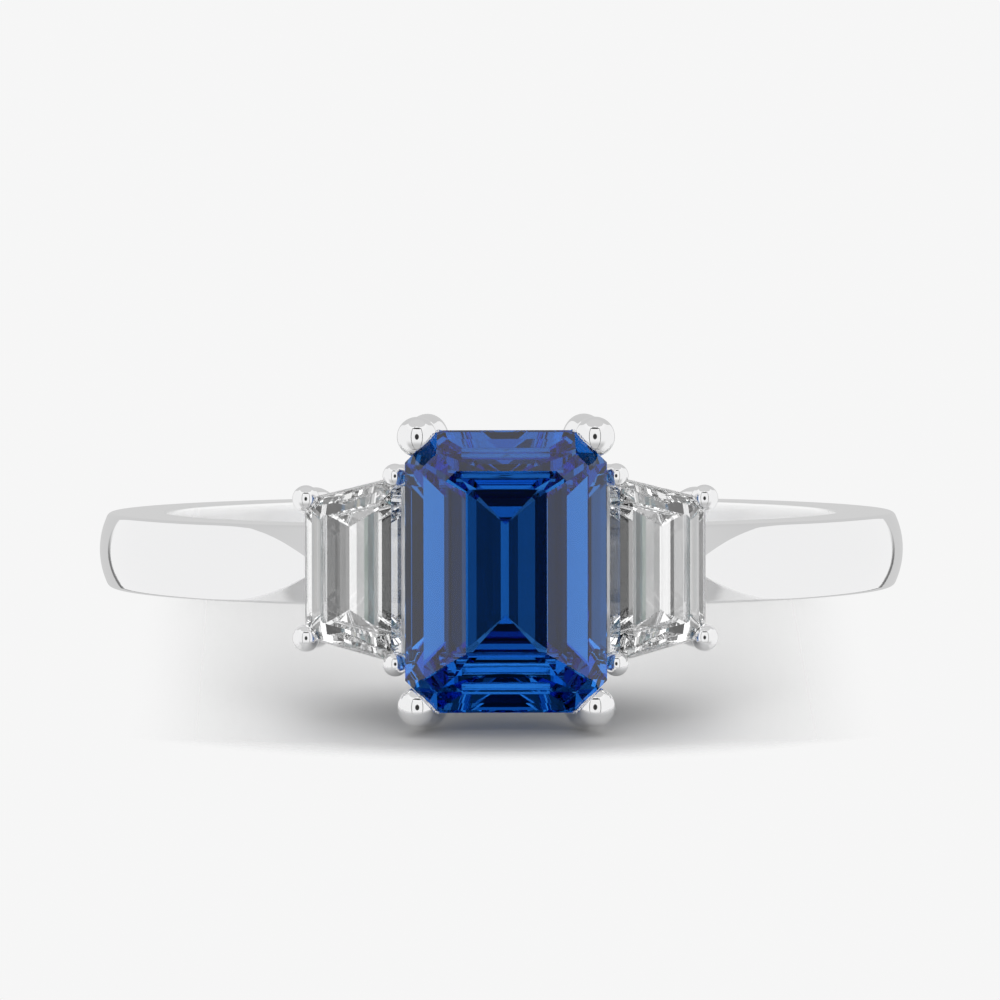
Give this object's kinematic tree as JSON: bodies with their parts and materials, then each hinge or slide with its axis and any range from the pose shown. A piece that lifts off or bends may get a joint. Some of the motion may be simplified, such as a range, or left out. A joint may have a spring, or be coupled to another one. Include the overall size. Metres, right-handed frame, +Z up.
{
  "type": "three stone ring",
  "caption": "Finger ring with a step cut centre stone between two trapezoid side stones, claw set on a slim polished shank with bevelled shoulders.",
  "frame": {"origin": "centre of the bounding box in X and Y, on the floor that the ring rests on", "axes": "the ring lies on its side: +Z up, close to the finger hole's axis; the head faces -Y and leans slightly up; X runs across the head"},
  "size_m": [0.0206, 0.0236, 0.0078],
  "materials": {
    "white_metal": "polished platinum",
    "sapphire": "polished facets",
    "diamond": "polished facets"
  },
  "bodies": {
    "root": {"ring_mount": "white_metal", "centre_stone": "sapphire", "left_stone": "diamond", "right_stone": "diamond"}
  },
  "joints": []
}
